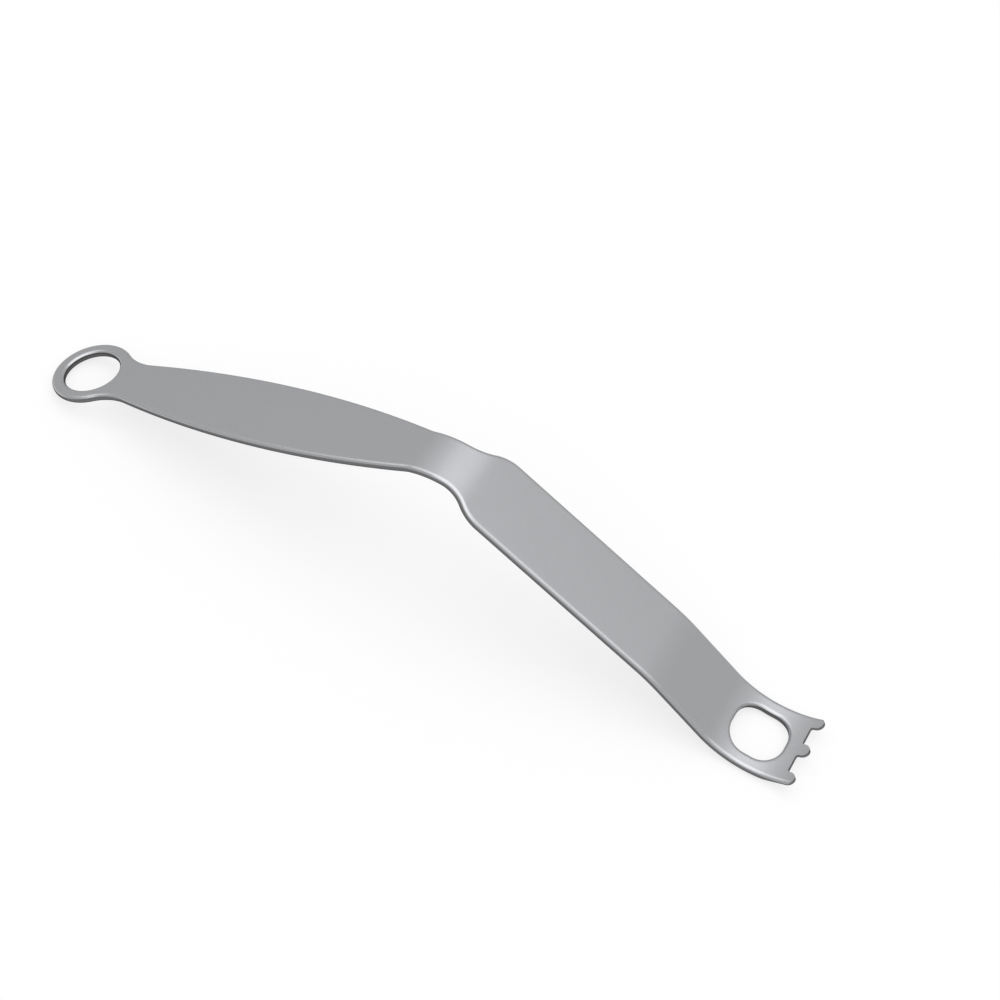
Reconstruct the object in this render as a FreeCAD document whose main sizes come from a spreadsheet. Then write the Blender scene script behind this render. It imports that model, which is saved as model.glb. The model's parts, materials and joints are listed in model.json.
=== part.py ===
import FreeCAD, Part
import math
import os
import Sketcher

# Handheld surgical retractor: one plate of stainless steel, cut to its outline, bent three times and
# rounded along every edge. A finger ring and a leaf-shaped grip lie in one flat stretch, a waist carries
# the first bend, and the blade behind it ends in a slot and three short teeth on the last bend. The
# underside of the tip is ground flat, which makes the teeth thin, and the teeth are cut last, with crisp
# edges.
# The sizes are in millimetres and degrees, and lengths run along the middle of the plate.
SIZES = {
    # the plate, and the flat that is left in the middle of its rounded rim
    "plate_thickness": 3.0,
    "rim_land": 0.2,
    # the finger ring
    "ring_diameter": 29.8,
    "ring_hole_diameter": 20.4,
    "ring_fillet_radius": 17.0,
    # the grip, from the ring's centre to the first bend: its width beside the ring, at its widest place
    # and at the waist
    "grip_length": 140.0,
    "grip_widest_at": 80.0,
    "neck_width": 17.2,
    "grip_width": 29.6,
    "waist_width": 18.9,
    "waist_blend_radius": 11.0,
    # the first bend, and the blade up to the second bend
    "first_bend_angle": 45.3,
    "first_bend_radius": 28.8,
    "blade_length": 78.8,
    "blade_width": 30.0,
    "shoulder_radius": 16.0,
    "shoulder_past_bend": 7.4,
    # the second bend, and the steep stretch after it
    "second_bend_angle": 8.9,
    "second_bend_radius": 70.0,
    "steep_length": 21.7,
    # the last bend, which turns the other way and carries the slot and the teeth
    "last_bend_angle": 63.3,
    "last_bend_radius": 33.2,
    "slot_to_tip": 19.3,
    "slot_length": 19.8,
    "slot_width": 18.9,
    "slot_corner_radius": 7.9,
    "tooth_width": 4.9,
    "tooth_depth": 3.6,
    "tooth_root_radius": 0.8,
    # the flat that is ground under the tip, from its start to the tip, and the plate that is left there
    "grinding_length": 14.0,
    "tip_thickness": 1.3,
}
UP = math.radians(90)
HALF_TURN = math.radians(180)
# the outline is cut out of a plate this wide, and each cut reaches twice as far
STOCK_WIDTH = "(sizes.ring_diameter + sizes.blade_width)"
# every edge is rounded this far
RIM_RADIUS = "(sizes.plate_thickness - sizes.rim_land) / 2"
# the cuts beside the grip and the blade overlap along the waist, on the first bend: the first ends this
# far past the bend's start, and the second starts this far before its end
GRIP_SEAM = "sizes.first_bend_radius * sin(sizes.first_bend_angle * 0.35 * 1 deg)"
BLADE_SEAM = "sizes.first_bend_radius * sin(sizes.first_bend_angle * 0.8 * 1 deg)"
# the last bend's centre, and the lean of the plate at the tip
CENTRE_ALONG = "side_line.Constraints.last_bend_along"
CENTRE_HEIGHT = "side_line.Constraints.last_bend_height"
TIP_LEAN = "sizes.first_bend_angle + sizes.second_bend_angle - sizes.last_bend_angle"

doc = FreeCAD.newDocument("retractor_document")
sheet = doc.addObject("Spreadsheet::Sheet", "sizes")
for row, (name, value) in enumerate(SIZES.items(), start=1):
    sheet.set(f"A{row}", name)
    sheet.set(f"B{row}", str(value))
    sheet.setAlias(f"B{row}", name)
doc.recompute()

body = doc.addObject("PartDesign::Body", "retractor")
body.Label = "retractor"


def size(name):
    """The value of one cell of the sheet."""
    return float(sheet.get(name))


def origin_plane(role):
    return next(item for item in body.Origin.OriginFeatures if item.Role == role)


def new_sketch(name, role):
    """A sketch of the body on one of its origin planes."""
    sketch = body.newObject("Sketcher::SketchObject", name)
    sketch.AttachmentSupport = [(origin_plane(role), "")]
    sketch.MapMode = "FlatFace"
    return sketch


def lean(sketch, along, height, angle):
    """Moves a sketch along the plate and leans it about the cross direction."""
    turned = FreeCAD.Rotation(FreeCAD.Vector(0, 1, 0), 1)
    sketch.AttachmentOffset = FreeCAD.Placement(FreeCAD.Vector(), turned)
    sketch.setExpression("AttachmentOffset.Base.x", along)
    sketch.setExpression("AttachmentOffset.Base.z", height)
    sketch.setExpression("AttachmentOffset.Rotation.Angle", angle)


def line(sketch, start, end):
    """Adds a straight piece and gives its number with its first and last end."""
    piece = Part.LineSegment(FreeCAD.Vector(*start, 0), FreeCAD.Vector(*end, 0))
    return sketch.addGeometry(piece, False), 1, 2


def arc(sketch, centre, radius, first, last):
    """Adds an arc that travels from the angle first to the angle last, either way round."""
    circle = Part.Circle(FreeCAD.Vector(*centre, 0), FreeCAD.Vector(0, 0, 1), radius)
    number = sketch.addGeometry(Part.ArcOfCircle(circle, min(first, last), max(first, last)), False)
    return (number, 1, 2) if last > first else (number, 2, 1)


def relate(sketch, kind, *place):
    """Adds a geometric relation and gives its number."""
    return sketch.addConstraint(Sketcher.Constraint(kind, *place))


def follow(sketch, kind, before, after):
    """Ties the start of one piece to the end of the piece before it."""
    relate(sketch, kind, before[0], before[2], after[0], after[1])


def worked_out(sketch, expression):
    """The plain number that an expression of the sheet's cells stands for."""
    return FreeCAD.Units.Quantity(sketch.evalExpression(expression)).Value


def dimension(sketch, kind, place, expression):
    """Adds a driving dimension that follows the sheet."""
    value = worked_out(sketch, expression)
    number = relate(sketch, kind, *place, math.radians(value) if kind == "Angle" else value)
    sketch.setExpression(f"Constraints[{number}]", expression)


def heading(start, end):
    """The direction from one point to another, as an angle from 0 to a full turn."""
    return math.atan2(end[1] - start[1], end[0] - start[0]) % (2 * HALF_TURN)


def side_line():
    """The middle of the plate seen from the side: three straight stretches, each with a bend after it."""
    sketch = new_sketch("side_line", "XZ_Plane")
    stretches = [size("ring_diameter") + size("grip_length"), size("blade_length"), size("steep_length")]
    radii = [size("first_bend_radius"), size("second_bend_radius"), size("last_bend_radius")]
    # the plate runs on past the tip by one tooth, and the teeth are cut out of it
    run_on = "sizes.last_bend_angle + sizes.tooth_width / sizes.last_bend_radius * 180 / pi"
    turns = [-size("first_bend_angle"), -size("second_bend_angle"), worked_out(sketch, run_on)]
    x, z, direction = -size("ring_diameter"), 0.0, 0.0
    pieces = []
    for stretch, turn, radius in zip(stretches, turns, radii):
        start = (x, z)
        x, z = x + stretch * math.cos(direction), z + stretch * math.sin(direction)
        pieces.append(line(sketch, start, (x, z)))
        inward = direction + math.copysign(UP, turn)
        centre = (x + radius * math.cos(inward), z + radius * math.sin(inward))
        first = inward - HALF_TURN
        last = first + math.radians(turn)
        pieces.append(arc(sketch, centre, radius, first, last))
        direction += math.radians(turn)
        x, z = centre[0] + radius * math.cos(last), centre[1] + radius * math.sin(last)
    for before, after in zip(pieces, pieces[1:]):
        follow(sketch, "Tangent", before, after)
    relate(sketch, "PointOnObject", 0, 1, -1)
    relate(sketch, "PointOnObject", 0, 2, -1)
    dimension(sketch, "DistanceX", (0, 1, -1, 1), "sizes.ring_diameter")
    dimension(sketch, "DistanceX", (-1, 1, 0, 2), "sizes.grip_length")
    dimension(sketch, "Radius", (1,), "sizes.first_bend_radius")
    dimension(sketch, "Angle", (1,), "sizes.first_bend_angle * 1 deg")
    dimension(sketch, "Distance", (2,), "sizes.blade_length")
    dimension(sketch, "Radius", (3,), "sizes.second_bend_radius")
    dimension(sketch, "Angle", (3,), "sizes.second_bend_angle * 1 deg")
    dimension(sketch, "Distance", (4,), "sizes.steep_length")
    dimension(sketch, "Radius", (5,), "sizes.last_bend_radius")
    dimension(sketch, "Angle", (5,), f"({run_on}) * 1 deg")
    for kind, name in (("DistanceX", "last_bend_along"), ("DistanceY", "last_bend_height")):
        number = relate(sketch, kind, -1, 1, 5, 3, 1.0)
        sketch.setDriving(number, False)
        sketch.renameConstraint(number, name)
    return sketch


def plate_section():
    """The cross-section of the plate before it is cut to its outline."""
    sketch = new_sketch("plate_section", "YZ_Plane")
    sketch.setExpression("AttachmentOffset.Base.z", "-sizes.ring_diameter")
    wide, thick = worked_out(sketch, STOCK_WIDTH) / 2, size("plate_thickness") / 2
    corners = [(-wide, -thick), (wide, -thick), (wide, thick), (-wide, thick)]
    pieces = [line(sketch, here, there) for here, there in zip(corners, corners[1:] + corners[:1])]
    for before, after in zip(pieces, pieces[1:] + pieces[:1]):
        follow(sketch, "Coincident", before, after)
    for number in (0, 2):
        relate(sketch, "Horizontal", number)
        relate(sketch, "Vertical", number + 1)
    relate(sketch, "Symmetric", 0, 1, 2, 1, -1, 1)
    dimension(sketch, "Distance", (0,), STOCK_WIDTH)
    dimension(sketch, "Distance", (1,), "sizes.plate_thickness")
    return sketch


def grip_outline():
    """What is cut away beside the ring and the grip, on one side, up to a seam on the first bend."""
    sketch = new_sketch("grip_outline", "XY_Plane")
    ring, fillet, blend = size("ring_diameter") / 2, size("ring_fillet_radius"), size("waist_blend_radius")
    neck, widest, waist = size("neck_width") / 2, size("grip_width") / 2, size("waist_width") / 2
    length, peak = size("grip_length"), size("grip_widest_at")
    seam = length + worked_out(sketch, GRIP_SEAM)
    left, far = -2 * size("ring_diameter"), worked_out(sketch, STOCK_WIDTH)
    # the leaf has one arc on each side of its widest place
    rear = ((peak - ring) ** 2 + (widest - neck) ** 2) / (2 * (widest - neck))
    front = ((length - peak) ** 2 + (waist + blend - widest) ** 2 - blend**2) / (2 * (widest - waist))
    rear_centre, front_centre = (peak, widest - rear), (peak, widest - front)
    blend_centre = (length, waist + blend)
    # the fillet touches the ring and the leaf from outside
    reach = math.dist((0, 0), rear_centre)
    along = ((ring + fillet) ** 2 - (rear + fillet) ** 2 + reach**2) / (2 * reach)
    aside = math.sqrt((ring + fillet) ** 2 - along**2)
    towards = heading((0, 0), rear_centre)
    fillet_centre = (
        along * math.cos(towards) - aside * math.sin(towards),
        along * math.sin(towards) + aside * math.cos(towards),
    )
    at_ring, at_leaf = heading(fillet_centre, (0, 0)), heading(fillet_centre, rear_centre)
    at_blend = heading(blend_centre, front_centre)
    pieces = [
        line(sketch, (left, 0), (-ring, 0)),
        arc(sketch, (0, 0), ring, HALF_TURN, at_ring - HALF_TURN),
        arc(sketch, fillet_centre, fillet, at_ring, at_leaf),
        arc(sketch, rear_centre, rear, at_leaf - HALF_TURN, UP),
        arc(sketch, front_centre, front, UP, at_blend - HALF_TURN),
        arc(sketch, blend_centre, blend, at_blend, 3 * UP),
        line(sketch, (length, waist), (seam, waist)),
        line(sketch, (seam, waist), (seam, far)),
        line(sketch, (seam, far), (left, far)),
        line(sketch, (left, far), (left, 0)),
    ]
    kinds = ["Coincident"] + ["Tangent"] * 5 + ["Coincident"] * 4
    for kind, before, after in zip(kinds, pieces, pieces[1:] + pieces[:1]):
        follow(sketch, kind, before, after)
    for number in (0, 6, 8):
        relate(sketch, "Horizontal", number)
    for number in (7, 9):
        relate(sketch, "Vertical", number)
    relate(sketch, "PointOnObject", 0, 1, -1)
    relate(sketch, "Coincident", 1, 3, -1, 1)
    relate(sketch, "Vertical", 3, 3, 3, pieces[3][2])
    beside_ring = sketch.addGeometry(Part.Point(FreeCAD.Vector(ring, neck, 0)), True)
    relate(sketch, "PointOnObject", beside_ring, 1, 3)
    dimension(sketch, "DistanceX", (-1, 1, beside_ring, 1), "sizes.ring_diameter / 2")
    dimension(sketch, "DistanceY", (-1, 1, beside_ring, 1), "sizes.neck_width / 2")
    dimension(sketch, "Radius", (1,), "sizes.ring_diameter / 2")
    dimension(sketch, "Radius", (2,), "sizes.ring_fillet_radius")
    dimension(sketch, "DistanceX", (-1, 1, 3, 3), "sizes.grip_widest_at")
    dimension(sketch, "DistanceY", (-1, 1, 3, pieces[3][2]), "sizes.grip_width / 2")
    dimension(sketch, "Radius", (5,), "sizes.waist_blend_radius")
    dimension(sketch, "DistanceX", (-1, 1, 6, 1), "sizes.grip_length")
    dimension(sketch, "DistanceY", (-1, 1, 6, 1), "sizes.waist_width / 2")
    dimension(sketch, "DistanceX", (-1, 1, 6, 2), f"sizes.grip_length + {GRIP_SEAM}")
    dimension(sketch, "DistanceX", (9, 2, -1, 1), "2 * sizes.ring_diameter")
    dimension(sketch, "DistanceY", (-1, 1, 8, 1), STOCK_WIDTH)
    return sketch


def blade_outline():
    """What is cut away beside the waist, the shoulder and the blade, on one side, in the blade's plane."""
    sketch = new_sketch("blade_outline", "XY_Plane")
    lean(sketch, "sizes.grip_length", "-sizes.first_bend_radius", "sizes.first_bend_angle")
    waist, side, radius = size("waist_width") / 2, size("blade_width") / 2, size("shoulder_radius")
    seam = -worked_out(sketch, BLADE_SEAM)
    turn = math.acos(1 - (side - waist) / (2 * radius))
    full = size("shoulder_past_bend")
    start = full - 2 * radius * math.sin(turn)
    far = worked_out(sketch, STOCK_WIDTH)
    end = 2 * (size("blade_length") + size("steep_length") + size("last_bend_radius"))
    pieces = [
        line(sketch, (seam, waist), (start, waist)),
        arc(sketch, (start, waist + radius), radius, 3 * UP, 3 * UP + turn),
        arc(sketch, (full, side - radius), radius, UP + turn, UP),
        line(sketch, (full, side), (end, side)),
        line(sketch, (end, side), (end, far)),
        line(sketch, (end, far), (seam, far)),
        line(sketch, (seam, far), (seam, waist)),
    ]
    kinds = ["Tangent"] * 3 + ["Coincident"] * 4
    for kind, before, after in zip(kinds, pieces, pieces[1:] + pieces[:1]):
        follow(sketch, kind, before, after)
    for number in (0, 3, 5):
        relate(sketch, "Horizontal", number)
    for number in (4, 6):
        relate(sketch, "Vertical", number)
    relate(sketch, "Equal", 1, 2)
    dimension(sketch, "Radius", (1,), "sizes.shoulder_radius")
    dimension(sketch, "DistanceY", (-1, 1, 0, 1), "sizes.waist_width / 2")
    dimension(sketch, "DistanceY", (-1, 1, 3, 1), "sizes.blade_width / 2")
    dimension(sketch, "DistanceX", (-1, 1, 3, 1), "sizes.shoulder_past_bend")
    dimension(sketch, "DistanceX", (0, 1, -1, 1), BLADE_SEAM)
    beyond = "2 * (sizes.blade_length + sizes.steep_length + sizes.last_bend_radius)"
    dimension(sketch, "DistanceX", (-1, 1, 3, 2), beyond)
    dimension(sketch, "DistanceY", (-1, 1, 5, 1), STOCK_WIDTH)
    return sketch


def tooth_outline():
    """What is cut away round the teeth, on one side, in the plane that touches the tip."""
    sketch = new_sketch("tooth_outline", "XY_Plane")
    lean(sketch, CENTRE_ALONG, CENTRE_HEIGHT, TIP_LEAN)
    round_end, root, depth = size("tooth_width") / 2, size("tooth_root_radius"), size("tooth_depth")
    side = size("blade_width") / 2
    inner = side - 2 * round_end
    beyond, far = size("last_bend_radius"), worked_out(sketch, STOCK_WIDTH)
    pieces = [
        arc(sketch, (-round_end, 0), round_end, 0, UP),
        line(sketch, (-round_end, round_end), (root - depth, round_end)),
        arc(sketch, (root - depth, round_end + root), root, 3 * UP, HALF_TURN),
        line(sketch, (-depth, round_end + root), (-depth, inner - root)),
        arc(sketch, (root - depth, inner - root), root, HALF_TURN, UP),
        line(sketch, (root - depth, inner), (-round_end, inner)),
        arc(sketch, (-round_end, inner + round_end), round_end, -UP, UP),
        line(sketch, (-round_end, side), (-depth, side)),
        line(sketch, (-depth, side), (-depth, far)),
        line(sketch, (-depth, far), (beyond, far)),
        line(sketch, (beyond, far), (beyond, 0)),
        line(sketch, (beyond, 0), (0, 0)),
    ]
    kinds = ["Tangent"] * 7 + ["Coincident"] * 5
    for kind, before, after in zip(kinds, pieces, pieces[1:] + pieces[:1]):
        follow(sketch, kind, before, after)
    for number in (1, 5, 7, 9, 11):
        relate(sketch, "Horizontal", number)
    for number in (3, 8, 10):
        relate(sketch, "Vertical", number)
    relate(sketch, "Coincident", 0, 1, -1, 1)
    relate(sketch, "PointOnObject", 0, 3, -1)
    relate(sketch, "Vertical", 0, 3, 6, 3)
    relate(sketch, "Vertical", 3, 1, 8, 1)
    relate(sketch, "Equal", 0, 6)
    relate(sketch, "Equal", 2, 4)
    dimension(sketch, "Radius", (0,), "sizes.tooth_width / 2")
    dimension(sketch, "Radius", (2,), "sizes.tooth_root_radius")
    dimension(sketch, "DistanceX", (3, 1, -1, 1), "sizes.tooth_depth")
    dimension(sketch, "DistanceY", (-1, 1, 7, 1), "sizes.blade_width / 2")
    dimension(sketch, "DistanceX", (-1, 1, 10, 2), "sizes.last_bend_radius")
    dimension(sketch, "DistanceY", (-1, 1, 9, 1), STOCK_WIDTH)
    return sketch


def tip_grinding():
    """What is ground away under the tip, seen from the side, in the plane that touches the tip."""
    sketch = new_sketch("tip_grinding", "XZ_Plane")
    turned = FreeCAD.Rotation(FreeCAD.Vector(0, 0, 1), 1)
    sketch.AttachmentOffset = FreeCAD.Placement(FreeCAD.Vector(), turned)
    sketch.setExpression("AttachmentOffset.Base.x", CENTRE_ALONG)
    sketch.setExpression("AttachmentOffset.Base.y", CENTRE_HEIGHT)
    sketch.setExpression("AttachmentOffset.Rotation.Angle", f"-({TIP_LEAN})")
    radius, half = size("last_bend_radius"), size("plate_thickness") / 2
    back, left = size("grinding_length") / radius, size("tip_thickness")
    start = (-(radius + half) * math.sin(back), -(radius + half) * math.cos(back))
    tip = (0.0, half - radius - left)
    slope = (tip[1] - start[1]) / (tip[0] - start[0])
    end = (radius, tip[1] + slope * radius)
    low = -2 * radius
    corners = [start, tip, end, (radius, low), (start[0], low)]
    pieces = [line(sketch, here, there) for here, there in zip(corners, corners[1:] + corners[:1])]
    for before, after in zip(pieces, pieces[1:] + pieces[:1]):
        follow(sketch, "Coincident", before, after)
    relate(sketch, "Parallel", 0, 1)
    relate(sketch, "Horizontal", 3)
    for number in (2, 4):
        relate(sketch, "Vertical", number)
    relate(sketch, "PointOnObject", 0, 2, -2)
    angle = "sizes.grinding_length / sizes.last_bend_radius * 180 / pi * 1 deg"
    outside = "(sizes.last_bend_radius + sizes.plate_thickness / 2)"
    dimension(sketch, "DistanceX", (0, 1, -1, 1), f"{outside} * sin({angle})")
    dimension(sketch, "DistanceY", (0, 1, -1, 1), f"{outside} * cos({angle})")
    inside = "sizes.last_bend_radius - sizes.plate_thickness / 2"
    dimension(sketch, "DistanceY", (0, 2, -1, 1), f"{inside} + sizes.tip_thickness")
    dimension(sketch, "DistanceX", (-1, 1, 1, 2), "sizes.last_bend_radius")
    dimension(sketch, "DistanceY", (3, 1, -1, 1), "2 * sizes.last_bend_radius")
    return sketch


def slot_outline():
    """The rounded window behind the teeth, in the plane that touches the bend at its middle."""
    sketch = new_sketch("slot_outline", "XY_Plane")
    back = "sizes.slot_to_tip / sizes.last_bend_radius * 180 / pi"
    lean(sketch, CENTRE_ALONG, CENTRE_HEIGHT, f"{TIP_LEAN} + {back}")
    radius = size("slot_corner_radius")
    across, aside = size("slot_length") / 2 - radius, size("slot_width") / 2 - radius
    pieces = []
    for quarter, (x, y) in enumerate(((1, 1), (-1, 1), (-1, -1), (1, -1))):
        centre, first = (x * across, y * aside), quarter * UP
        pieces.append(arc(sketch, centre, radius, first, first + UP))
        if quarter % 2 == 0:
            start = (centre[0], centre[1] + y * radius)
            pieces.append(line(sketch, start, (-start[0], start[1])))
        else:
            start = (centre[0] + x * radius, centre[1])
            pieces.append(line(sketch, start, (start[0], -start[1])))
    for before, after in zip(pieces, pieces[1:] + pieces[:1]):
        follow(sketch, "Tangent", before, after)
    for number in (2, 4, 6):
        relate(sketch, "Equal", 0, number)
    for number in (1, 5):
        relate(sketch, "Horizontal", number)
    for number in (3, 7):
        relate(sketch, "Vertical", number)
    relate(sketch, "Symmetric", 0, 3, 4, 3, -1, 1)
    dimension(sketch, "Radius", (0,), "sizes.slot_corner_radius")
    dimension(sketch, "DistanceX", (3, 1, 7, 1), "sizes.slot_length")
    dimension(sketch, "DistanceY", (5, 1, 1, 1), "sizes.slot_width")
    return sketch


def ring_hole():
    """The finger hole of the ring."""
    sketch = new_sketch("ring_hole", "XY_Plane")
    radius = size("ring_hole_diameter") / 2
    hole = Part.Circle(FreeCAD.Vector(), FreeCAD.Vector(0, 0, 1), radius)
    sketch.addGeometry(hole, False)
    relate(sketch, "Coincident", 0, 3, -1, 1)
    dimension(sketch, "Radius", (0,), "sizes.ring_hole_diameter / 2")
    return sketch


def cut(name, outline):
    """Cuts an outline right through the plate."""
    before = body.Shape.Volume
    pocket = body.newObject("PartDesign::Pocket", name)
    pocket.Profile = outline
    pocket.Type = "ThroughAll"
    pocket.Midplane = True
    doc.recompute()
    if not pocket.Shape.Volume < before:
        raise RuntimeError(f"{name} cuts nothing")
    return pocket


def both_sides(name, cuts):
    """Repeats cuts of one side on the other side."""
    mirror = body.newObject("PartDesign::Mirrored", name)
    mirror.Originals = cuts
    mirror.MirrorPlane = (origin_plane("XZ_Plane"), [""])
    body.Tip = mirror
    doc.recompute()


def resting_turn(middle_line):
    """The turn that lays the end of the ring and the underside of the last bend on one level floor."""
    rim, half = worked_out(sheet, RIM_RADIUS), size("plate_thickness") / 2
    underside = size("last_bend_radius") + half
    ring_end = (rim - size("ring_diameter") / 2, rim - half)
    last_bend = [middle_line.getDatum(name).Value for name in ("last_bend_along", "last_bend_height")]
    apart = math.dist(ring_end, last_bend)
    down = math.atan2(last_bend[1] - ring_end[1], last_bend[0] - ring_end[0])
    rise = math.asin((underside - rim) / apart) - down
    return FreeCAD.Rotation(FreeCAD.Vector(0, 1, 0), -math.degrees(rise))


# the bent plate before it is cut to its outline
middle_line = side_line()
plate = body.newObject("PartDesign::AdditivePipe", "bent_plate")
plate.Spine = middle_line
plate.Profile = plate_section()
doc.recompute()

# the sides of the outline and the two openings
both_sides("other_side", [cut("grip_cut", grip_outline()), cut("blade_cut", blade_outline())])
cut("ring_hole_cut", ring_hole())
slot = cut("slot_cut", slot_outline())

# the rounding that runs along every edge, outside and in the openings
rim = body.newObject("PartDesign::Fillet", "rounded_rim")
rim.Base = (slot, ["Edge1"])
rim.UseAllEdges = True
rim.setExpression("Radius", RIM_RADIUS)
doc.recompute()

# the tip is ground thinner, and the teeth are cut out of it
cut("tip_grinding_cut", tip_grinding())
both_sides("other_teeth", [cut("tooth_cut", tooth_outline())])

# the retractor lies as it rests on a table, with the middle of its footprint at the origin
turn = resting_turn(middle_line)
body.Placement = FreeCAD.Placement(FreeCAD.Vector(), turn)
box = body.Shape.optimalBoundingBox(False)
to_origin = FreeCAD.Vector(-(box.XMin + box.XMax) / 2, 0, -box.ZMin)
body.Placement = FreeCAD.Placement(to_origin, turn)
doc.recompute()

for item in doc.Objects:
    if {"Invalid", "Error"} & set(item.State):
        raise RuntimeError(f"{item.Name} has failed")
shape = body.Shape
if shape.isNull() or not shape.isValid() or len(shape.Solids) != 1:
    raise RuntimeError("the retractor isn't one whole solid")
os.makedirs("parts", exist_ok=True)
shape.exportStep(f"parts/{body.Label}.step")
box = shape.optimalBoundingBox(False)
print("length, width, height:", *(round(side, 2) for side in (box.XLength, box.YLength, box.ZLength)))
print("volume:", round(shape.Volume), "mm3, faces:", len(shape.Faces))
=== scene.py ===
# %% [markdown]
# # A hand-held retractor in satin steel
# The object is one flat plate of stainless steel. It was cut to an outline, bent three times, rounded
# along every edge and blasted to a soft satin finish. This lesson makes it in the order of the workshop:
# first the flat blank, then the bends, then the finish, and last the studio that it is photographed in.
#
# The measured model comes first. It is loaded as a fixed frame, which says where the retractor lies and
# how large it is, and the detailed plate is built to fit it.

# %% Load the measured model
import json
import math

import bmesh
import bpy
from mathutils import Matrix, Vector
from mathutils.geometry import delaunay_2d_cdt
from mathutils.kdtree import KDTree


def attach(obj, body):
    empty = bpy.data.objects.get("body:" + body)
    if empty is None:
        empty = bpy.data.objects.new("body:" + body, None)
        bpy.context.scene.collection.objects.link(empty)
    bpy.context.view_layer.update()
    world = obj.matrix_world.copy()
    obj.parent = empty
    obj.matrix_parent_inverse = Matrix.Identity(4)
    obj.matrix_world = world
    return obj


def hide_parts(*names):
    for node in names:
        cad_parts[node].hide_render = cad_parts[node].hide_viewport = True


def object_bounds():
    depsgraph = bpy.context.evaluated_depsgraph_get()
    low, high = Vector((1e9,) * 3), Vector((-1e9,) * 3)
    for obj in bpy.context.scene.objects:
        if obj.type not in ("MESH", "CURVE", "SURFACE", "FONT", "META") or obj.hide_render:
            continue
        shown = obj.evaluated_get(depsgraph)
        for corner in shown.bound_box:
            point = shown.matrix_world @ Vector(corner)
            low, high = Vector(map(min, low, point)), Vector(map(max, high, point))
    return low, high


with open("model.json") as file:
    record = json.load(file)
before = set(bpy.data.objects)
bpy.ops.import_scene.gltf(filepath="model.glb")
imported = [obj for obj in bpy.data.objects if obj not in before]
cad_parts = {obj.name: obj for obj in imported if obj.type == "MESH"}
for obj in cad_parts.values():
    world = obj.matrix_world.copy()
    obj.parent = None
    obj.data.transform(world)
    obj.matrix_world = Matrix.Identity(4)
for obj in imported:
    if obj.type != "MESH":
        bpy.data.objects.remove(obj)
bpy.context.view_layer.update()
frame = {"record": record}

MM = 0.001

# %% [markdown]
# ## The sizes of the plate
# A maker's drawing gives a bent plate in its flat state: lengths run along the middle of the plate, and
# every bend has a radius and an angle. The same numbers are written here, in millimetres and degrees.
# Everything that follows is worked out from them, so a change here changes the whole plate.

# %% Sizes of the plate
THICKNESS, RIM_RADIUS = 3.0, 1.4
RING_RADIUS, RING_HOLE_RADIUS, RING_FILLET_RADIUS = 14.9, 10.2, 17.0
GRIP_LENGTH, GRIP_WIDEST_AT = 140.0, 80.0
NECK_WIDTH, GRIP_WIDTH, WAIST_WIDTH, BLADE_WIDTH = 17.2, 29.6, 18.9, 30.0
WAIST_BLEND_RADIUS, SHOULDER_RADIUS, SHOULDER_PAST_BEND = 11.0, 16.0, 7.4
BLADE_LENGTH, STEEP_LENGTH = 78.8, 21.7
SLOT_TO_TIP, SLOT_LENGTH, SLOT_WIDTH, SLOT_CORNER_RADIUS = 19.3, 19.8, 18.9, 7.9
TOOTH_WIDTH, TOOTH_DEPTH, TOOTH_ROOT_RADIUS = 4.9, 3.6, 0.8
GRINDING_LENGTH, TIP_THICKNESS = 14.0, 1.3
BEND_ANGLES = (math.radians(45.3), math.radians(8.9), math.radians(63.3))
BEND_RADII = (28.8, 70.0, 33.2)
# a bend downwards counts as 1, and a bend upwards as -1
BEND_SIDES = (1, 1, -1)

# where each bend starts along the flat plate, and where the plate ends
BEND_STARTS = []
TIP = 0.0
for straight, angle, radius in zip((GRIP_LENGTH, BLADE_LENGTH, STEEP_LENGTH), BEND_ANGLES, BEND_RADII):
    BEND_STARTS.append(TIP + straight)
    TIP += straight + angle * radius
# the blank runs on past the tip, and the teeth are cut out of it at the end
RUN_ON, SPARE_CORNER_RADIUS = 5.0, 3.0
print("the bends start at", [round(start, 1) for start in BEND_STARTS], "mm")
print("the plate ends at", round(TIP, 1), "mm")

# %% [markdown]
# ## The outline of the flat blank
# Every edge of the blank is a straight line or an arc. An outline made of points alone would lose the
# smooth joints between them, so each piece is worked out from its centre and radius. Each point keeps the
# direction that leaves the steel there. The rounded rim needs that direction, because each row of the rim
# is the same outline, moved inwards a little.

# %% Pieces of an outline
STEP = 0.6  # the distance between two points, in millimetres
FEWEST_STEPS = 6
QUARTER = math.radians(90)


def straight_edge(start, end, leaving):
    """Points of a straight edge without its last one, each with the direction that leaves the steel."""
    count = max(1, round(math.dist(start, end) / STEP))
    spots = [Vector(start).lerp(Vector(end), i / count) for i in range(count)]
    return [(spot, Vector(leaving)) for spot in spots]


def round_edge(centre, radius, first, last, hollow=False, step=STEP):
    """Points of an arc without its last one; a hollow arc has its centre outside the steel."""
    count = max(FEWEST_STEPS, round(abs(last - first) * radius / step))
    points = []
    for i in range(count):
        angle = first + (last - first) * i / count
        away = Vector((math.cos(angle), math.sin(angle)))
        points.append((Vector(centre) + radius * away, -away if hollow else away))
    return points


def direction(start, end):
    """The direction from one point to another, from 0 to a full turn."""
    return math.atan2(end[1] - start[1], end[0] - start[0]) % (4 * QUARTER)


# %% [markdown]
# The grip is a leaf: two large arcs that meet at its widest place. A hollow arc joins it to the ring, and
# another one leads it into the waist. The centres follow from the widths, as on a drawing board.

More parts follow.
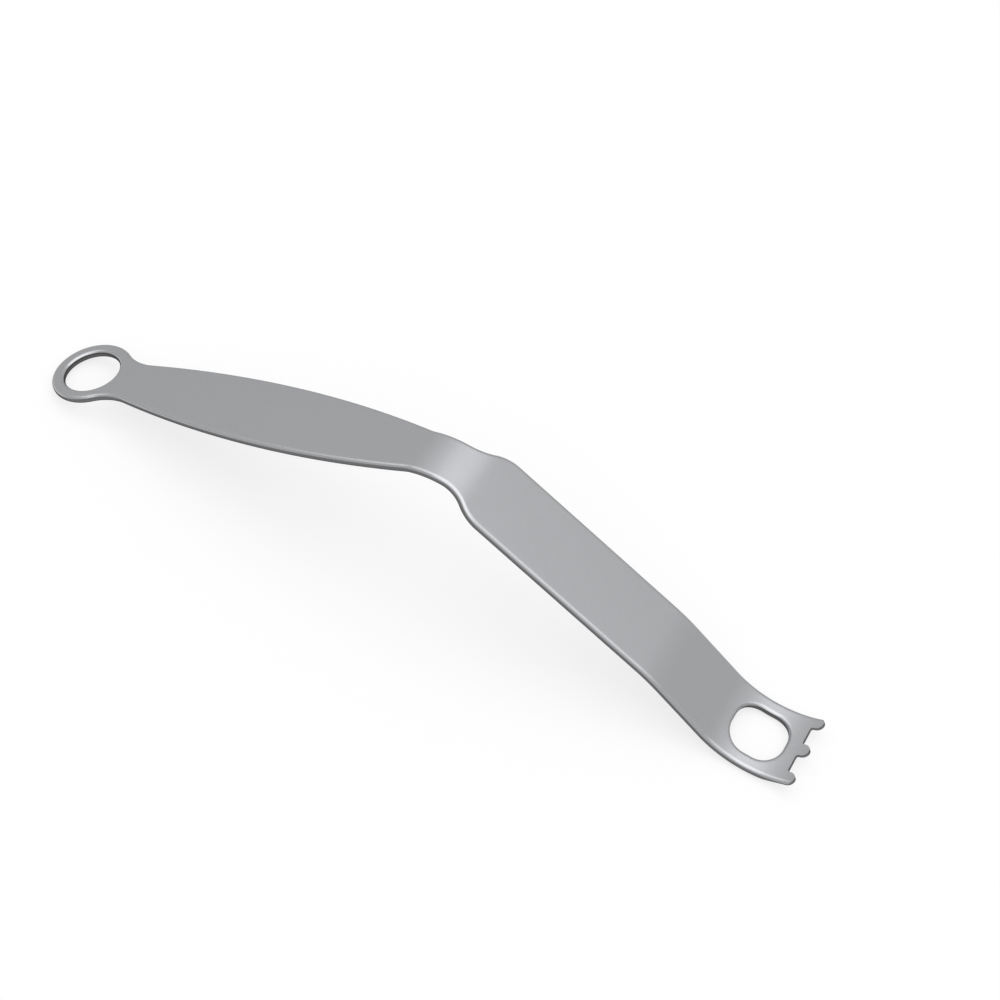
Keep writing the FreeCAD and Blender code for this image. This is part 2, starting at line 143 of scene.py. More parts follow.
# %% Ring, grip and waist
def ring_and_grip():
    """The edge from the far end of the ring to the waist, on the left side."""
    neck, widest, waist = NECK_WIDTH / 2, GRIP_WIDTH / 2, WAIST_WIDTH / 2
    rear = ((GRIP_WIDEST_AT - RING_RADIUS) ** 2 + (widest - neck) ** 2) / (2 * (widest - neck))
    run = GRIP_LENGTH - GRIP_WIDEST_AT
    blend = WAIST_BLEND_RADIUS
    front = (run**2 + (waist + blend - widest) ** 2 - blend**2) / (2 * (widest - waist))
    rear_centre, front_centre = (GRIP_WIDEST_AT, widest - rear), (GRIP_WIDEST_AT, widest - front)
    blend_centre = (GRIP_LENGTH, waist + blend)
    # the hollow arc beside the ring touches both the ring and the leaf
    reach = math.hypot(*rear_centre)
    from_ring, from_leaf = RING_RADIUS + RING_FILLET_RADIUS, rear + RING_FILLET_RADIUS
    along = (from_ring**2 - from_leaf**2 + reach**2) / (2 * reach)
    spread = math.acos(along / from_ring)
    towards = direction((0, 0), rear_centre) + spread
    fillet_centre = (from_ring * math.cos(towards), from_ring * math.sin(towards))
    at_ring, at_leaf = direction(fillet_centre, (0, 0)), direction(fillet_centre, rear_centre)
    at_blend = direction(blend_centre, front_centre)
    return (
        round_edge((0, 0), RING_RADIUS, 2 * QUARTER, at_ring - 2 * QUARTER)
        + round_edge(fillet_centre, RING_FILLET_RADIUS, at_ring, at_leaf, hollow=True)
        + round_edge(rear_centre, rear, at_leaf - 2 * QUARTER, QUARTER)
        + round_edge(front_centre, front, QUARTER, at_blend - 2 * QUARTER)
        + round_edge(blend_centre, blend, at_blend, 3 * QUARTER, hollow=True)
    )


print("points from the ring to the waist:", len(ring_and_grip()))

# %% [markdown]
# The blade grows out of the waist with a double curve, the shoulder, and then runs straight on. The blank is
# a little longer than the finished plate: the teeth come later, because on the real one they are crisp while
# every other edge is rounded.

# %% Shoulder and blade
def shoulder_and_blade():
    """The edge from the waist to the middle of the blank's far end, on the left side."""
    waist, side = WAIST_WIDTH / 2, BLADE_WIDTH / 2
    turn = math.acos(1 - (side - waist) / (2 * SHOULDER_RADIUS))
    full = BEND_STARTS[0] + BEND_ANGLES[0] * BEND_RADII[0] + SHOULDER_PAST_BEND
    start = full - 2 * SHOULDER_RADIUS * math.sin(turn)
    corner, far_end = SPARE_CORNER_RADIUS, TIP + RUN_ON
    hollow_centre, round_centre = (start, waist + SHOULDER_RADIUS), (full, side - SHOULDER_RADIUS)
    return (
        straight_edge((GRIP_LENGTH, waist), (start, waist), (0, 1))
        + round_edge(hollow_centre, SHOULDER_RADIUS, 3 * QUARTER, 3 * QUARTER + turn, hollow=True)
        + round_edge(round_centre, SHOULDER_RADIUS, QUARTER + turn, QUARTER)
        + straight_edge((full, side), (far_end - corner, side), (0, 1))
        + round_edge((far_end - corner, side - corner), corner, QUARTER, 0)
        + straight_edge((far_end, side - corner), (far_end, 0), (1, 0))
    )


print("points from the waist to the far end:", len(shoulder_and_blade()))

# %% [markdown]
# The right side mirrors the left one. The finger hole and the slot are closed outlines of their own. The
# slot was cut on the bent plate, so its length is measured straight across the bend, and on the flat blank
# it is a little longer.

# %% Closed outlines
def whole_outline():
    """The edge of the blank, once round."""
    left = ring_and_grip() + shoulder_and_blade()
    end = [(Vector((TIP + RUN_ON, 0)), Vector((1, 0)))]
    right = [(Vector((p.x, -p.y)), Vector((n.x, -n.y))) for p, n in reversed(left[1:])]
    return left + end + right


def slot_outline():
    """The edge of the slot: four rounded corners with straight edges between them."""
    middle, radius = TIP - SLOT_TO_TIP, SLOT_CORNER_RADIUS
    half_length = BEND_RADII[2] * math.asin(SLOT_LENGTH / 2 / BEND_RADII[2])
    across, aside = half_length - radius, SLOT_WIDTH / 2 - radius
    points = []
    for quarter, (x, y) in enumerate(((1, 1), (-1, 1), (-1, -1), (1, -1))):
        centre = Vector((middle + x * across, y * aside))
        first = quarter * QUARTER
        points += round_edge(centre, radius, first, first + QUARTER, hollow=True)
        beyond = centre + radius * Vector((math.cos(first + QUARTER), math.sin(first + QUARTER)))
        across_slot, along_slot = (2 * middle - beyond.x, beyond.y), (beyond.x, -beyond.y)
        opposite = along_slot if quarter % 2 else across_slot
        points += straight_edge(beyond, opposite, -(beyond - centre) / radius)
    return points


loops = {
    "edge": whole_outline(),
    "finger_hole": round_edge((0, 0), RING_HOLE_RADIUS, 0, 4 * QUARTER, hollow=True),
    "slot": slot_outline(),
}
print("points round each outline:", {name: len(points) for name, points in loops.items()})

# %% [markdown]
# ## The flat blank as a mesh
# The rim could be a Bevel modifier, but then nothing would say where the rounding is. It is built row by row
# instead: every row is the outline, moved inwards and lowered along a quarter circle. One more row lies a
# little further in, on the flat face, and keeps the shading of the face even.

# %% Rows of the rounded rim
ROUND_STEPS = 8
MARGIN = 0.3  # how far the last row lies inside the rounding
half = THICKNESS / 2
# inset, height and rim value for each row of the upper half, from the flat face outwards
upper_rows = [(RIM_RADIUS + MARGIN, half, 0.0)]
for i in range(ROUND_STEPS + 1):
    angle = QUARTER * i / ROUND_STEPS
    inset, drop = RIM_RADIUS * (1 - math.sin(angle)), RIM_RADIUS * (1 - math.cos(angle))
    upper_rows.append((inset, half - drop, i / ROUND_STEPS))
lower_rows = [(inset, -height, 2 - share) for inset, height, share in reversed(upper_rows)]
rim_rows = upper_rows + lower_rows
print("rows of the rim:", len(rim_rows))

# %% [markdown]
# The flat faces are filled with a Delaunay triangulation of the innermost row and a fine grid of points, so
# that the plate has enough points to bend smoothly. A point counts as inside when a line from it crosses the
# outline an odd number of times.

# %% The points inside the flat faces
GRID = 1.6  # the distance between two points of the grid
CLEAR_OF_BORDER = 0.6 * GRID
POINTS_ARE_ONE = 1e-5


def inside(point, loop):
    """Whether a point lies inside a closed outline, by counting the edges to its right."""
    crossings = 0
    for a, b in zip(loop, loop[1:] + loop[:1]):
        if (a.y > point.y) != (b.y > point.y):
            crossings += point.x < a.x + (b.x - a.x) * (point.y - a.y) / (b.y - a.y)
    return crossings % 2 == 1


def on_steel(point, borders):
    """Whether a point lies inside the first border and outside all the others."""
    return inside(point, borders[0]) and not any(inside(point, hole) for hole in borders[1:])


def distance_finder(borders):
    """A function that gives the distance from a point to the nearest border point."""
    spots = [spot for border in borders for spot in border]
    tree = KDTree(len(spots))
    for i, spot in enumerate(spots):
        tree.insert(spot.to_3d(), i)
    tree.balance()
    return lambda spot: tree.find(spot.to_3d())[2]


def flat_face(borders):
    """Triangles between the borders, as points and corner numbers."""
    spots = [spot for border in borders for spot in border]
    edges, first = [], 0
    for border in borders:
        edges += [(first + i, first + (i + 1) % len(border)) for i in range(len(border))]
        first += len(border)
    distance = distance_finder(borders)
    rows = int(BLADE_WIDTH / 2 / GRID) + 1
    for i in range(int(-RING_RADIUS / GRID), int((TIP + RUN_ON) / GRID) + 1):
        for j in range(-rows, rows + 1):
            spot = Vector(((i + 0.5 * (j % 2)) * GRID, j * GRID))
            if distance(spot) > CLEAR_OF_BORDER and on_steel(spot, borders):
                spots.append(spot)
    points, _, triangles, *_ = delaunay_2d_cdt(spots, edges, [], 0, POINTS_ARE_ONE)
    kept = []
    for triangle in triangles:
        middle = sum((points[i] for i in triangle), Vector((0, 0))) / 3
        if on_steel(middle, borders):
            kept.append(triangle)
    return points, kept


innermost = RIM_RADIUS + MARGIN
borders = [[spot - leaving * innermost for spot, leaving in loop] for loop in loops.values()]
face_points, face_triangles = flat_face(borders)
print("triangles in each flat face:", len(face_triangles))

# %% [markdown]
# Two attributes are kept for the finish. One, rim, says how far round the rounding a place lies: it is 0 on
# the upper face, 1 at the outermost line and 2 on the underside. The other, bore, marks the walls of both
# holes. Both belong to the corners of the faces, because those keep their values when the teeth are cut.

# %% Put the blank together
MERGE_DISTANCE = 1e-7


def flat_blank():
    """The rounded blank, still flat, in metres."""
    mesh = bmesh.new()
    rim, bore = (mesh.loops.layers.float.new(name) for name in ("rim", "bore"))
    for side in (1, -1):
        corners = [mesh.verts.new((p.x * MM, p.y * MM, side * half * MM)) for p in face_points]
        for triangle in face_triangles:
            face = mesh.faces.new([corners[i] for i in (triangle if side > 0 else reversed(triangle))])
            for corner in face.loops:
                corner[rim] = 1 - side
    for name, loop in loops.items():
        rows = []
        for inset, height, share in rim_rows:
            places = [spot - leaving * inset for spot, leaving in loop]
            rows.append(([mesh.verts.new((p.x * MM, p.y * MM, height * MM)) for p in places], share))
        for (upper, above), (lower, below) in zip(rows, rows[1:]):
            for i in range(len(loop)):
                j = (i + 1) % len(loop)
                face = mesh.faces.new((upper[i], upper[j], lower[j], lower[i]))
                for corner, value in zip(face.loops, (above, above, below, below)):
                    corner[rim], corner[bore] = value, float(name != "edge")
    bmesh.ops.remove_doubles(mesh, verts=mesh.verts, dist=MERGE_DISTANCE)
    bmesh.ops.recalc_face_normals(mesh, faces=mesh.faces)
    print("blank:", len(mesh.verts), "points,", round(mesh.calc_volume() / MM**3), "cubic mm")
    print("open edges:", sum(not edge.is_manifold for edge in mesh.edges))
    data = bpy.data.meshes.new("blank")
    mesh.to_mesh(data)
    mesh.free()
    return data


blank = bpy.data.objects.new("retractor_plate", flat_blank())
bpy.context.scene.collection.objects.link(blank)

# %% [markdown]
# ## The bends
# Bending follows one rule. Points before the bend stay, points on it are wrapped round a cylinder, and
# points behind it are carried along by the turn. The rule suits Geometry Nodes: it is a group, used once
# for each bend, with the start, radius and angle as named inputs. The last bend is applied first, because
# each bend counts its lengths along the part that is still flat. Two small helpers add the nodes.

# %% The rule of one bend
def node(tree, kind, *inputs, **settings):
    """Adds a node, sets it up and links or fills its inputs in order."""
    new = tree.nodes.new(kind)
    for name, value in settings.items():
        setattr(new, name, value)
    for socket, value in zip(new.inputs, inputs):
        if isinstance(value, bpy.types.NodeSocket):
            tree.links.new(value, socket)
        elif value is not None:
            socket.default_value = value
    return new


def maths(tree, operation, *inputs):
    """Adds a Math node and gives its output."""
    return node(tree, "ShaderNodeMath", *inputs, operation=operation).outputs[0]


def bend_group():
    """The rule of one bend, as a group of Geometry Nodes."""
    tree = bpy.data.node_groups.new("Bend the plate", "GeometryNodeTree")
    face = tree.interface
    face.new_socket("Plate", in_out="INPUT", socket_type="NodeSocketGeometry")
    for name in ("Start", "Radius", "Angle", "Side"):
        face.new_socket(name, in_out="INPUT", socket_type="NodeSocketFloat")
    face.new_socket("Plate", in_out="OUTPUT", socket_type="NodeSocketGeometry")
    given = node(tree, "NodeGroupInput").outputs
    start, radius, angle, side = (given[name] for name in ("Start", "Radius", "Angle", "Side"))
    place = node(tree, "ShaderNodeSeparateXYZ", node(tree, "GeometryNodeInputPosition").outputs[0]).outputs
    past = maths(tree, "SUBTRACT", place["X"], start)
    arc = maths(tree, "MULTIPLY", radius, angle)
    before = maths(tree, "MINIMUM", past, 0.0)
    behind = maths(tree, "MAXIMUM", maths(tree, "SUBTRACT", past, arc), 0.0)
    share = node(tree, "ShaderNodeClamp", maths(tree, "DIVIDE", past, arc), 0.0, 1.0).outputs[0]
    turn = maths(tree, "MULTIPLY", share, angle)
    sine, cosine = maths(tree, "SINE", turn), maths(tree, "COSINE", turn)
    # the distance of a point from the middle of the bend: the radius, and its own height above the plate
    out = maths(tree, "MULTIPLY_ADD", place["Z"], side, radius)
    x = maths(tree, "MULTIPLY_ADD", out, sine, maths(tree, "ADD", start, before))
    x = maths(tree, "MULTIPLY_ADD", behind, cosine, x)
    z = maths(tree, "SUBTRACT", maths(tree, "MULTIPLY", out, cosine), radius)
    z = maths(tree, "SUBTRACT", z, maths(tree, "MULTIPLY", behind, sine))
    z = maths(tree, "MULTIPLY", z, side)
    moved = node(tree, "ShaderNodeCombineXYZ", x, place["Y"], z).outputs[0]
    bent = node(tree, "GeometryNodeSetPosition", given["Plate"], None, moved).outputs[0]
    node(tree, "NodeGroupOutput", bent)
    return tree


# %% [markdown]
# The rule is used three times in a row. The tree ends with Realize Instances and Set Material, so that what
# comes out is an ordinary mesh in its own material.

# %% The tree that bends the whole plate
def bending_tree(rule, finish):
    """A tree with one rule for each bend, which ends in real geometry and its material."""
    tree = bpy.data.node_groups.new("Bend the blank", "GeometryNodeTree")
    tree.interface.new_socket("Blank", in_out="INPUT", socket_type="NodeSocketGeometry")
    for bend in ("First", "Second", "Last"):
        for name in ("Start", "Radius", "Angle", "Side"):
            tree.interface.new_socket(f"{bend} Bend {name}", in_out="INPUT", socket_type="NodeSocketFloat")
    tree.interface.new_socket("Plate", in_out="OUTPUT", socket_type="NodeSocketGeometry")
    given = node(tree, "NodeGroupInput").outputs
    plate = given["Blank"]
    for bend in ("Last", "Second", "First"):
        values = [given[f"{bend} Bend {name}"] for name in ("Start", "Radius", "Angle", "Side")]
        group = tree.nodes.new("GeometryNodeGroup")
        group.node_tree = rule
        for socket, value in zip(group.inputs, [plate, *values]):
            tree.links.new(value, socket)
        plate = group.outputs[0]
    real = node(tree, "GeometryNodeRealizeInstances", plate).outputs[0]
    finished = node(tree, "GeometryNodeSetMaterial", real)
    finished.inputs["Material"].default_value = finish
    node(tree, "NodeGroupOutput", finished.outputs[0])
    return tree


# %% [markdown]
# ## The finish
# Instruments like this are blasted with fine glass beads. That leaves a dense, even grain, which spreads
# reflections softly without any direction, and a very faint cloudiness. They come from three sizes of noise
# in a node group, because a blasted surface is the same idea on every tool.

# %% The blasted grain
def blasted_grain():
    """A group that gives the grain's height, its cloudiness and a change of roughness."""
    tree = bpy.data.node_groups.new("Blasted grain", "ShaderNodeTree")
    face = tree.interface
    face.new_socket("Position", in_out="INPUT", socket_type="NodeSocketVector")
    face.new_socket("Grains per Millimetre", in_out="INPUT", socket_type="NodeSocketFloat")
    for name in ("Height", "Cloud", "Unevenness"):
        face.new_socket(name, in_out="OUTPUT", socket_type="NodeSocketFloat")
    given = node(tree, "NodeGroupInput").outputs
    per_metre = maths(tree, "DIVIDE", given["Grains per Millimetre"], MM)

    def noise(scale, detail, roughness):
        new = node(tree, "ShaderNodeTexNoise")
        tree.links.new(given["Position"], new.inputs["Vector"])
        tree.links.new(scale, new.inputs["Scale"])
        new.inputs["Detail"].default_value = detail
        new.inputs["Roughness"].default_value = roughness
        return new.outputs[0]

    grain = noise(per_metre, 2.0, 0.6)
    # a cloud is about seventeen grains wide, and an uneven patch about three
    cloud = noise(maths(tree, "MULTIPLY", per_metre, 0.06), 3.0, 0.5)
    uneven = noise(maths(tree, "MULTIPLY", per_metre, 0.35), 2.0, 0.5)
    node(tree, "NodeGroupOutput", grain, cloud, uneven)
    return tree


# %% [markdown]
# The rounding is a little smoother than the faces. Its lower part mirrors what lies below and beside the
# plate. Round an instrument in use that is mostly dark, but here it is a white floor. So the lower part gets
# painted shade, a darker colour that stands in for a dark surrounding mirrored there, and so do the walls of
# the two holes, from a little higher up. That painted dark line under every near edge is what makes the plate
# look thick. The second group turns the attributes into soft masks: one for the whole rounding, one for the
# painted shade on its lower part and one for the holes.

# %% The parts of the rim
# where on the rounding the painted shade of the lower part begins and where it ends, each from no darkening to
# all of it
PAINTED_SHADE_BEGINS, PAINTED_SHADE_ENDS = (0.58, 0.76), (1.95, 1.6)
# in the holes the painted shade starts a little higher up the wall
PAINTED_SHADE_EARLIER_IN_HOLES = 0.08
ROUNDING_BEGINS = (1.0, 0.75)


def rim_parts():
    """A group that turns the attributes into masks: the rounding, the painted shade on its lower part, and the
    holes.
    """
    tree = bpy.data.node_groups.new("Rim parts", "ShaderNodeTree")
    for name in ("Rounding", "Painted Shade", "Hole"):
        tree.interface.new_socket(name, in_out="OUTPUT", socket_type="NodeSocketFloat")
    rim, hole = (
        node(tree, "ShaderNodeAttribute", attribute_name=name).outputs["Fac"] for name in ("rim", "bore")
    )

    def ramp(value, ends):
        smooth = {"interpolation_type": "SMOOTHSTEP"}
        return node(tree, "ShaderNodeMapRange", value, *ends, 0.0, 1.0, **smooth).outputs[0]

    from_middle = maths(tree, "ABSOLUTE", maths(tree, "SUBTRACT", rim, 1.0))
    rounding = ramp(from_middle, ROUNDING_BEGINS)
    # painted shade: a soft mask over the lower part of the rim, which starts a little higher up in the holes
    shifted = maths(tree, "ADD", rim, maths(tree, "MULTIPLY", hole, PAINTED_SHADE_EARLIER_IN_HOLES))
    lower = maths(tree, "MULTIPLY", ramp(shifted, PAINTED_SHADE_BEGINS), ramp(rim, PAINTED_SHADE_ENDS))
    node(tree, "NodeGroupOutput", rounding, lower, hole)
    return tree


# %% [markdown]
# The material joins the parts. Steel is a metal, so its colour is the colour of its reflections: a light
# grey with a trace of blue. The Specular Tint is what the steel reflects at a grazing angle. It is dark, which
# draws a fine line along the edges that turn away from the camera.

# %% Satin steel
FACE_COLOUR = (0.533, 0.538, 0.556, 1)
# painted shade: darker colours for the lower part of the rim and for the hole walls, standing in for a dark
# surrounding that they would mirror
LOWER_RIM_PAINTED_SHADE = (0.16, 0.16, 0.165, 1)
HOLE_WALL_PAINTED_SHADE = (0.11, 0.11, 0.113, 1)
EDGE_TINT = (0.35, 0.35, 0.35, 1)
FACE_ROUGHNESS, RIM_ROUGHNESS = 0.31, 0.26
GRAINS_PER_MILLIMETRE = 3.0
# how much the clouds and the specks change the colour, and how much the roughness varies, up and down
CLOUD, SPECK, UNEVENNESS = 0.005, 0.05, 0.02
GRAIN_DEPTH = 0.02  # in millimetres
GRAIN_STRENGTH = 0.3


def use_group(tree, group):
    """Adds a node group to a shader tree."""
    new = tree.nodes.new("ShaderNodeGroup")
    new.node_tree = group
    return new


def blend(tree, share, first, second):
    """Mixes two colours and gives the result."""
    new = node(tree, "ShaderNodeMix", data_type="RGBA")
    sockets = [socket for socket in new.inputs if socket.enabled]
    for socket, value in zip(sockets, (share, first, second)):
        if isinstance(value, bpy.types.NodeSocket):
            tree.links.new(value, socket)
        else:
            socket.default_value = value
    return next(socket for socket in new.outputs if socket.enabled)


def around(tree, value, low, high, middle, change):
    """Spreads a noise, from low to high, round a middle value."""
    return node(tree, "ShaderNodeMapRange", value, low, high, middle - change, middle + change).outputs[0]


def satin_steel():
    """The one material of the plate."""
    material = bpy.data.materials.new("satin_steel")
    material.use_nodes = True
    tree = material.node_tree
    shader = tree.nodes["Principled BSDF"]
    shader.inputs["Metallic"].default_value = 1.0
    shader.inputs["Specular Tint"].default_value = EDGE_TINT
    grain, parts = use_group(tree, blasted_grain()), use_group(tree, rim_parts())
    tree.links.new(node(tree, "ShaderNodeTexCoord").outputs["Object"], grain.inputs["Position"])
    grain.inputs["Grains per Millimetre"].default_value = GRAINS_PER_MILLIMETRE
    # colour: painted shade, a darker colour, on the lower part of the rim and on the hole walls, with a faint
    # cloud and specks over everything
    lower = blend(tree, parts.outputs["Hole"], LOWER_RIM_PAINTED_SHADE, HOLE_WALL_PAINTED_SHADE)
    colour = blend(tree, parts.outputs["Painted Shade"], FACE_COLOUR, lower)
    cloud = around(tree, grain.outputs["Cloud"], 0.3, 0.7, 1.0, CLOUD)
    speck = around(tree, grain.outputs["Height"], 0.25, 0.75, 1.0, SPECK)
    tinted = node(tree, "ShaderNodeVectorMath", colour, operation="SCALE")
    tree.links.new(maths(tree, "MULTIPLY", cloud, speck), tinted.inputs["Scale"])
    tree.links.new(tinted.outputs[0], shader.inputs["Base Color"])
    # roughness: smoother on the rim, and slightly uneven
    ends = (0.0, 1.0, FACE_ROUGHNESS, RIM_ROUGHNESS)
    base = node(tree, "ShaderNodeMapRange", parts.outputs["Rounding"], *ends).outputs[0]
    uneven = around(tree, grain.outputs["Unevenness"], 0.3, 0.7, 0.0, UNEVENNESS)
    tree.links.new(maths(tree, "ADD", base, uneven), shader.inputs["Roughness"])
    bump = node(tree, "ShaderNodeBump")
    bump.inputs["Strength"].default_value = GRAIN_STRENGTH
    bump.inputs["Distance"].default_value = GRAIN_DEPTH * MM
    tree.links.new(grain.outputs["Height"], bump.inputs["Height"])
    tree.links.new(bump.outputs[0], shader.inputs["Normal"])
    return material


steel = satin_steel()
print("made the material", steel.name, "with", len(steel.node_tree.nodes), "nodes")

# %% [markdown]
# Now the blank can be bent. The inputs of the tree are set by their names, and the result takes the place of
# the flat mesh. The last bend runs on past the tip, together with the spare end of the blank.

# %% Bend the blank
def keep_result(thing):
    """Gives an object the mesh that its modifiers make, and removes them."""
    evaluated = thing.evaluated_get(bpy.context.evaluated_depsgraph_get())
    result = bpy.data.meshes.new_from_object(evaluated)
    thing.modifiers.clear()
    thing.data = result
    return result


modifier = blank.modifiers.new("bends", "NODES")
modifier.node_group = bending_tree(bend_group(), steel)
sockets = modifier.node_group.interface.items_tree
inputs = {item.name: item.identifier for item in sockets if item.in_out == "INPUT"}
bends = zip(("First", "Second", "Last"), BEND_STARTS, BEND_RADII, BEND_ANGLES, BEND_SIDES)
for bend, start, radius, angle, side in bends:
    modifier[inputs[f"{bend} Bend Start"]] = start * MM
    modifier[inputs[f"{bend} Bend Radius"]] = radius * MM
    modifier[inputs[f"{bend} Bend Angle"]] = angle + (RUN_ON / radius if bend == "Last" else 0)
    modifier[inputs[f"{bend} Bend Side"]] = float(side)
bent = keep_result(blank)
print("bent", len(bent.polygons), "faces")

# %% [markdown]
# ## Lay the plate in its place
# The measured model says where the finger hole is and how it leans. That is enough to lay the plate down,
# because the middle of the hole is where the lengths start.

# %% Place the plate on the frame
ring = next(mount for mount in frame["record"]["mounts"] if mount["name"] == "ring_hole")
up = Vector(ring["axis"]).normalized()
across = Vector((0, 1, 0))
along = across.cross(up)
turn = Matrix((along, across, up)).transposed().to_4x4()
resting_place = Matrix.Translation(ring["pos_m"]) @ turn
bent.transform(resting_place)
plate = blank
print("the ring's hole lies at", [round(value / MM, 1) for value in ring["pos_m"]], "mm")

# %% [markdown]
# ## Grind the tip and cut the teeth
# The plate is three millimetres thick, but the teeth look much thinner, because a flat is ground under the
# tip. The teeth are then cut with crisp edges. Both cuts are made as on the real one, after the bending: a
# cutter is set up at the tip, square to the plate, and the Boolean modifier takes it away.

# %% The plate at its tip
def on_the_plate(length):
    """A frame on the middle of the bent plate: X runs along the plate, and Z is square to it."""
    frame_there = Matrix.Identity(4)
    done = 0.0
    for start, radius, angle, side in zip(BEND_STARTS, BEND_RADII, BEND_ANGLES, BEND_SIDES):
        turned = min(max((length - start) / radius, 0), angle)
        if turned == 0:
            break
        frame_there @= Matrix.Translation(((start - done) * MM, 0, -side * radius * MM))
        frame_there @= Matrix.Rotation(side * turned, 4, "Y") @ Matrix.Translation((0, 0, side * radius * MM))
        done = start + turned * radius
    return resting_place @ frame_there @ Matrix.Translation(((length - done) * MM, 0, 0))


def prism(name, outline, depth, place, rim_value):
    """A block with an outline in X and Y, in millimetres, that reaches as far up as down."""
    mesh = bmesh.new()
    rim = mesh.loops.layers.float.new("rim")
    top = [mesh.verts.new((x * MM, y * MM, depth * MM)) for x, y in outline]
    bottom = [mesh.verts.new((x * MM, y * MM, -depth * MM)) for x, y in outline]
    mesh.faces.new(top)
    mesh.faces.new(reversed(bottom))
    for i in range(len(outline)):
        j = (i + 1) % len(outline)
        mesh.faces.new((top[j], top[i], bottom[i], bottom[j]))
    for face in mesh.faces:
        for corner in face.loops:
            corner[rim] = rim_value
    bmesh.ops.recalc_face_normals(mesh, faces=mesh.faces)
    data = bpy.data.meshes.new(name)
    mesh.to_mesh(data)
    mesh.free()
    data.transform(place)
    cutter = bpy.data.objects.new(name, data)
    bpy.context.scene.collection.objects.link(cutter)
    return cutter


# %% [markdown]
# One cutter is a block below a slanting line, seen from the side. The other is a block whose near edge has
# the shape of the three teeth. Each brings its own value of the attribute rim, so that the finish knows the
# new surfaces: a flat underside, and walls that get the same painted shade as the lower part of the rim.

# %% The two cutters
TOOTH_STEP = 0.15
# the tooth walls take a rim value that lies inside the painted shade of the lower rim
UNDERSIDE, TOOTH_WALL = 2.0, 1.2


def tooth_outline():
    """What is cut away round the teeth, seen from above, with the tip at zero."""
    side, end, root = BLADE_WIDTH / 2, TOOTH_WIDTH / 2, TOOTH_ROOT_RADIUS
    inner, gap = side - TOOTH_WIDTH, -TOOTH_DEPTH
    # how far the cutter reaches to the sides and past the tip
    wide, far = 40, 20
    edge = (
        round_edge((-end, side - end), end, QUARTER, -QUARTER, step=TOOTH_STEP)
        + [(Vector((-end, inner)), None)]
        + round_edge((gap + root, inner - root), root, QUARTER, 2 * QUARTER, step=TOOTH_STEP)
        + round_edge((gap + root, end + root), root, 2 * QUARTER, 3 * QUARTER, step=TOOTH_STEP)
        + [(Vector((gap + root, end)), None)]
        + round_edge((-end, 0), end, QUARTER, 0, step=TOOTH_STEP)
    )
    left = [(spot.x, spot.y) for spot, _ in edge]
    right = [(x, -y) for x, y in reversed(left)]
    return [(-end, wide), *left, (0, 0), *right, (-end, -wide), (far, -wide), (far, wide)]


def grinding_outline():
    """What is ground away under the tip, seen from the side, with the tip at zero."""
    radius, outside = BEND_RADII[2], BEND_RADII[2] + half
    back = GRINDING_LENGTH / radius
    start = (-outside * math.sin(back), radius - outside * math.cos(back))
    tip = (0, half - TIP_THICKNESS)
    slope = (tip[1] - start[1]) / (tip[0] - start[0])
    # how far the cutter reaches past the tip and downwards
    far, deep = 12, 20
    return [start, (far, tip[1] + far * slope), (far, -deep), (start[0], -deep)]


tip_place = on_the_plate(TIP)
on_its_side = tip_place @ Matrix.Rotation(QUARTER, 4, "X")
cutters = [
    prism("grinding", grinding_outline(), depth=25, place=on_its_side, rim_value=UNDERSIDE),
    prism("tooth_gaps", tooth_outline(), depth=8, place=tip_place, rim_value=TOOTH_WALL),
]
print("the cutters have", [len(cutter.data.vertices) for cutter in cutters], "points")

# %% [markdown]
# The exact solver keeps the corner attributes and leaves a closed mesh. After the cuts the shading is smooth
# everywhere except at edges sharper than 25 degrees, which are the crisp edges of the teeth and of the flat.

# %% Cut
SHARP_ANGLE = 25
for cutter in cutters:
    cut = plate.modifiers.new(cutter.name, "BOOLEAN")
    cut.operation, cut.solver, cut.object = "DIFFERENCE", "EXACT", cutter
finished = keep_result(plate)
for cutter in cutters:
    bpy.data.objects.remove(cutter)
finished.shade_smooth()
finished.set_sharp_from_angle(angle=math.radians(SHARP_ANGLE))
print("the finished plate has", len(finished.polygons), "faces")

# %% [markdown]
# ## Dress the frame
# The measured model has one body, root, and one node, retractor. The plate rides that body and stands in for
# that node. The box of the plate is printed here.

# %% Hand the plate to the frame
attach(plate, "root")
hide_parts("retractor")
low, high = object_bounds()
print("plate", [round(v / MM, 2) for v in low], [round(v / MM, 2) for v in high])

# %% [markdown]
# ## The studio
# The camera stands above the table, in front and a little to the right, with a long lens. The handle leads
# away to the left, and the teeth come forward. Its place was found by fitting the outlines of the plate.

# %% Camera
CAMERA_PLACE = (0.162695, -0.430687, 0.646674)
CAMERA_TURN = (36.57779, -7.92818, 28.39834)
FIELD_OF_VIEW = 24.884
NEAREST, FARTHEST = 0.01, 20
camera = bpy.data.objects.new("camera", bpy.data.cameras.new("camera"))
camera.location = CAMERA_PLACE
camera.rotation_euler = [math.radians(angle) for angle in CAMERA_TURN]
camera.data.angle = math.radians(FIELD_OF_VIEW)
camera.data.clip_start, camera.data.clip_end = NEAREST, FARTHEST
bpy.context.scene.collection.objects.link(camera)
bpy.context.scene.camera = camera
print("the camera stands", round(Vector(CAMERA_PLACE).length, 2), "m from the plate")

# %% [markdown]
# The floor is white paper. What the camera sees of it is partly a plain white of strength 1, also where it is
# seen in a reflection. So the ground looks white without any more light on the steel, and it keeps a soft
# shadow.

